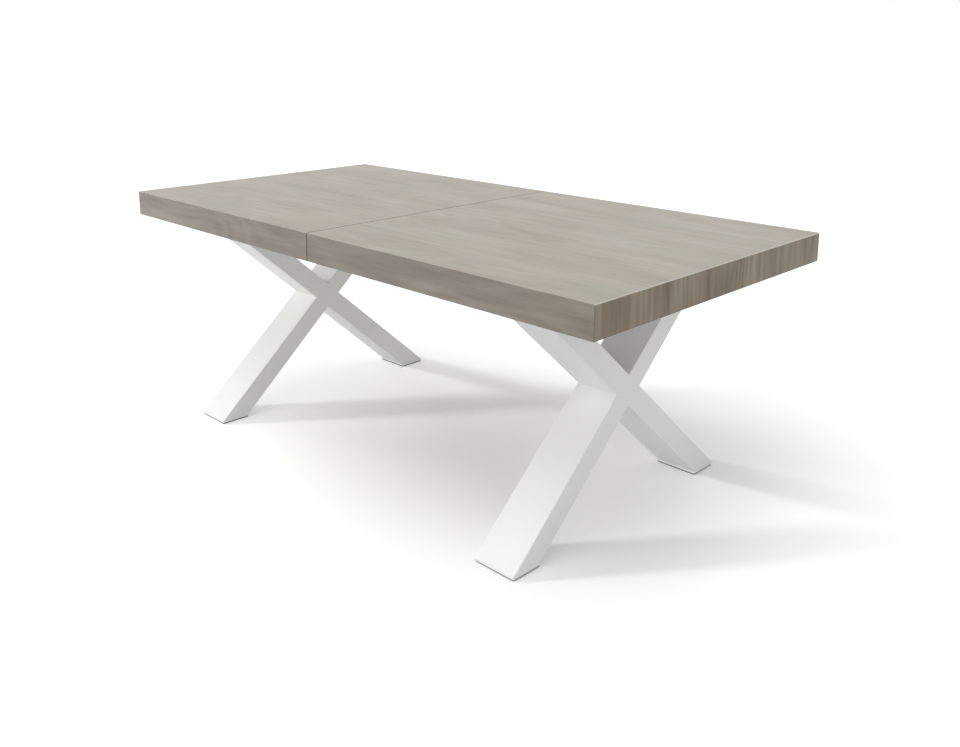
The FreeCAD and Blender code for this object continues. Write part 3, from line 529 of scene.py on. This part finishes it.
# The leg plates: flat steel welded across the tops of the tubes and bolted up into the bearers.
# They have the frames' coat. The bolts are zinc plated, with round heads and a six-sided socket.
dress(coat, "left_leg_plate", "right_leg_plate")

BOLT_HEAD_RADIUS = 0.007
BOLT_HEAD_DEPTH = 0.005
BOLT_HEAD_SIDES = 28
BOLT_CROWN = 0.86
BOLT_RIM = 0.8
SOCKET_RADIUS = 0.45
SOCKET_CENTRE = -0.95
BOLT_ROW_GAP = 0.06


def bolt_tree():
    """Bolt heads at the corners of a rectangle at each end of a plate, hanging below it."""
    labels = ("Middle", "Column gap", "Row gap", "End", "Face", "Head radius", "Head depth")
    tree, sizes, output = rule_tree("socket bolts", {label: "NodeSocketFloat" for label in labels})
    radius = sizes["Head radius"]
    depth = sizes["Head depth"]
    crown = maths(tree, "MULTIPLY", radius, BOLT_CROWN)
    rim = maths(tree, "MULTIPLY", depth, BOLT_RIM)
    barrel = {"Vertices": BOLT_HEAD_SIDES, "Radius": radius, "Depth": rim}
    side = add_node(tree, "GeometryNodeMeshCylinder", barrel).outputs["Mesh"]
    side = moved(tree, side, vector(tree, 0.0, 0.0, maths(tree, "MULTIPLY", rim, -0.5)))
    ease = maths(tree, "SUBTRACT", depth, rim)
    cone = {"Vertices": BOLT_HEAD_SIDES, "Radius Top": radius, "Radius Bottom": crown, "Depth": ease}
    nose = add_node(tree, "GeometryNodeMeshCone", cone).outputs["Mesh"]
    nose = moved(tree, nose, vector(tree, 0.0, 0.0, maths(tree, "MULTIPLY", depth, -1.0)))
    head = add_node(tree, "GeometryNodeMeshBoolean", operation="UNION", solver="EXACT")
    tree.links.new(side, head.inputs["Mesh 2"])
    tree.links.new(nose, head.inputs["Mesh 2"])
    hexagon = {"Vertices": 6, "Radius": maths(tree, "MULTIPLY", radius, SOCKET_RADIUS), "Depth": depth}
    key = add_node(tree, "GeometryNodeMeshCylinder", hexagon).outputs["Mesh"]
    key = moved(tree, key, vector(tree, 0.0, 0.0, maths(tree, "MULTIPLY", depth, SOCKET_CENTRE)))
    bolt = cut_away(tree, head.outputs[0], key)
    places = add_node(tree, "GeometryNodeJoinGeometry")
    grid = {"Size X": sizes["Column gap"], "Size Y": sizes["Row gap"], "Vertices X": 2, "Vertices Y": 2}
    for face in (-1.0, 1.0):
        corners = add_node(tree, "GeometryNodeMeshGrid", grid).outputs["Mesh"]
        middle = vector(tree, sizes["Middle"], maths(tree, "MULTIPLY", sizes["End"], face), sizes["Face"])
        tree.links.new(moved(tree, corners, middle), places.inputs[0])
    rule_end(tree, output, set_out(tree, places.outputs[0], bolt), zinc)
    return tree


bolts = bolt_tree()
for half in ("left", "right"):
    low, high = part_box(f"{half}_leg_bolts")
    sizes = {"Middle": (low.x + high.x) / 2.0, "Column gap": high.x - low.x - 2.0 * BOLT_HEAD_RADIUS}
    sizes |= {"Row gap": BOLT_ROW_GAP, "End": high.y - BOLT_HEAD_RADIUS - BOLT_ROW_GAP / 2.0}
    sizes |= {"Face": low.z + BOLT_HEAD_DEPTH}
    sizes |= {"Head radius": BOLT_HEAD_RADIUS, "Head depth": BOLT_HEAD_DEPTH}
    piece = made_by_rule(f"{half}_socket_bolts", bolts, sizes)
    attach(piece, f"{half}_half")
    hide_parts(f"{half}_leg_bolts")


# The feet: a coated plate welded over the open bottom of each tube, and a dark plastic glide pinned under it.
# The glide is set in a little all round, so the foot shows a thin dark line where it meets the floor.
def foot_tree(name, finish):
    """Two round-cornered plates, one under each foot of a frame."""
    labels = ("Middle", "Spread", "Width", "Length", "Corner", "Bottom", "Thickness")
    tree, sizes, output = rule_tree(name, {label: "NodeSocketFloat" for label in labels})
    pair = add_node(tree, "GeometryNodeJoinGeometry")
    half_spread = maths(tree, "MULTIPLY", sizes["Spread"], 0.5)
    rise = vector(tree, 0.0, 0.0, sizes["Thickness"])
    for face in (-1.0, 1.0):
        base = vector(tree, sizes["Middle"], maths(tree, "MULTIPLY", half_spread, face), sizes["Bottom"])
        plate = rounded_prism(tree, sizes["Width"], sizes["Length"], sizes["Corner"], base, rise)
        tree.links.new(plate, pair.inputs[0])
    rule_end(tree, output, pair.outputs[0], finish)
    return tree


foot_plates = foot_tree("foot plates", coat)
glides = foot_tree("glides", plastic)
for half in ("left", "right"):
    for kind, rule, slot in (("foot_plate", foot_plates, "white_coat"), ("glide", glides, "dark_plastic")):
        low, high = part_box(f"{half}_front_{kind}")
        sizes = {"Middle": (low.x + high.x) / 2.0, "Spread": -(low.y + high.y), "Corner": TUBE_CORNER}
        sizes |= {"Width": high.x - low.x, "Length": high.y - low.y}
        sizes |= {"Bottom": low.z, "Thickness": high.z - low.z}
        piece = made_by_rule(f"{half}_{kind}s", rule, sizes)
        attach(piece, f"{half}_half")
        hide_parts(f"{half}_front_{kind}", f"{half}_back_{kind}")


# The studio floor: matt white, laid flat under the feet, and it keeps the table's shadow.
# What the camera or a gloss sees of it is lifted to white, without lighting the table. The lift grows outwards
# from a spot under the right half, so that the shade fades away in an oval, as in the photo.
def seen_directly(tree):
    """One for rays from the camera, off a gloss or through glass, and nought for the rest."""
    path = tree.nodes.new("ShaderNodeLightPath").outputs
    either = maths(tree, "MAXIMUM", path["Is Camera Ray"], path["Is Glossy Ray"])
    return maths(tree, "MAXIMUM", either, path["Is Transmission Ray"])


WHITE = (1.0, 1.0, 1.0, 1.0)
FLOOR_REACH = 30.0
FLOOR_BOUNCE = (0.75, 0.75, 0.75, 1.0)
FLOOR_LIFT = 0.2
SHADE_CENTRE = (0.4, 0.14, 0.0)
SHADE_REACH = (1.14, 1.31, 1.0)
SHADE_WHOLE = 0.115
floor_mesh = bpy.data.meshes.new("floor")
corners = [(-FLOOR_REACH, -FLOOR_REACH, 0.0), (FLOOR_REACH, -FLOOR_REACH, 0.0)]
corners += [(FLOOR_REACH, FLOOR_REACH, 0.0), (-FLOOR_REACH, FLOOR_REACH, 0.0)]
floor_mesh.from_pydata(corners, [], [(0, 1, 2, 3)])
floor = bpy.data.objects.new("floor", floor_mesh)
bpy.context.scene.collection.objects.link(floor)
white_floor = bpy.data.materials.new("white floor")
white_floor.use_nodes = True
tree = white_floor.node_tree
tree.nodes.clear()
paint = laid_over(tree, seen_directly(tree), FLOOR_BOUNCE, WHITE)
matt = add_node(tree, "ShaderNodeBsdfDiffuse", {"Color": paint}).outputs[0]
spot = {"Vector": tree.nodes.new("ShaderNodeNewGeometry").outputs["Position"]}
spot |= {"Location": SHADE_CENTRE, "Scale": SHADE_REACH}
oval = add_node(tree, "ShaderNodeMapping", spot, vector_type="TEXTURE").outputs[0]
outwards = add_node(tree, "ShaderNodeVectorMath", {0: oval}, operation="LENGTH").outputs["Value"]
fading = {"Value": outwards, "From Min": SHADE_WHOLE, "To Max": FLOOR_LIFT}
fade = add_node(tree, "ShaderNodeMapRange", fading, interpolation_type="SMOOTHSTEP").outputs[0]
lift = maths(tree, "MULTIPLY", seen_directly(tree), fade)
glow = add_node(tree, "ShaderNodeEmission", {"Color": WHITE, "Strength": lift}).outputs[0]
floor_look = add_node(tree, "ShaderNodeAddShader", {0: matt, 1: glow}).outputs[0]
add_node(tree, "ShaderNodeOutputMaterial", {"Surface": floor_look})
floor_mesh.materials.append(white_floor)

# The room: an even white all round, which gives the soft part of the light.
# It is white to the camera and in a gloss, and dimmer as light on the table.
ROOM_LEVEL = 0.66
room = bpy.data.worlds.new("room")
bpy.context.scene.world = room
room.use_nodes = True
tree = room.node_tree
tree.nodes.clear()
dimming = {"Value": seen_directly(tree), "To Min": ROOM_LEVEL, "To Max": 1.0}
level = add_node(tree, "ShaderNodeMapRange", dimming).outputs[0]
walls = add_node(tree, "ShaderNodeBackground", {"Color": WHITE, "Strength": level}).outputs[0]
add_node(tree, "ShaderNodeOutputWorld", {"Surface": walls})

# The lamps: a key low at the front left and a weak one at the left, which draw the shadows at the feet,
# a broad one overhead for the top and the floor, and a weak one by the camera that fills the shaded sides.
# Each has a strength, a spread, a height over the floor and a turn from the front, in degrees.
for label, energy, spread, height, turn in (
    ("front left key", 1.34, 7.0, 22.0, -54.0),
    ("left lamp", 0.14, 7.0, 22.0, -92.0),
    ("broad top lamp", 0.6, 40.0, 75.0, 0.0),
    ("camera fill", 0.12, 40.0, 10.0, 70.0),
):
    lamp_data = bpy.data.lights.new(label, "SUN")
    lamp_data.energy = energy
    lamp_data.angle = math.radians(spread)
    lamp = bpy.data.objects.new(label, lamp_data)
    bpy.context.scene.collection.objects.link(lamp)
    lamp.rotation_euler = (math.radians(90.0 - height), 0.0, math.radians(turn))

# The camera stands off the front right corner at chest height and looks a little down.
# A small shift of its lens sets the table at the photo's place in the frame.
LOOKING_DOWN = 11.66
TURN_FROM_FRONT = 44.77
camera_data = bpy.data.cameras.new("camera")
camera_data.sensor_width = 36.0
camera_data.lens = 35.434
camera_data.shift_y = -0.15
camera = bpy.data.objects.new("camera", camera_data)
bpy.context.scene.collection.objects.link(camera)
camera.location = (2.1297, -1.9679, 1.2942)
camera.rotation_euler = (math.radians(90.0 - LOOKING_DOWN), 0.0, math.radians(TURN_FROM_FRONT))
bpy.context.scene.camera = camera
bpy.context.scene.view_settings.view_transform = "Standard"
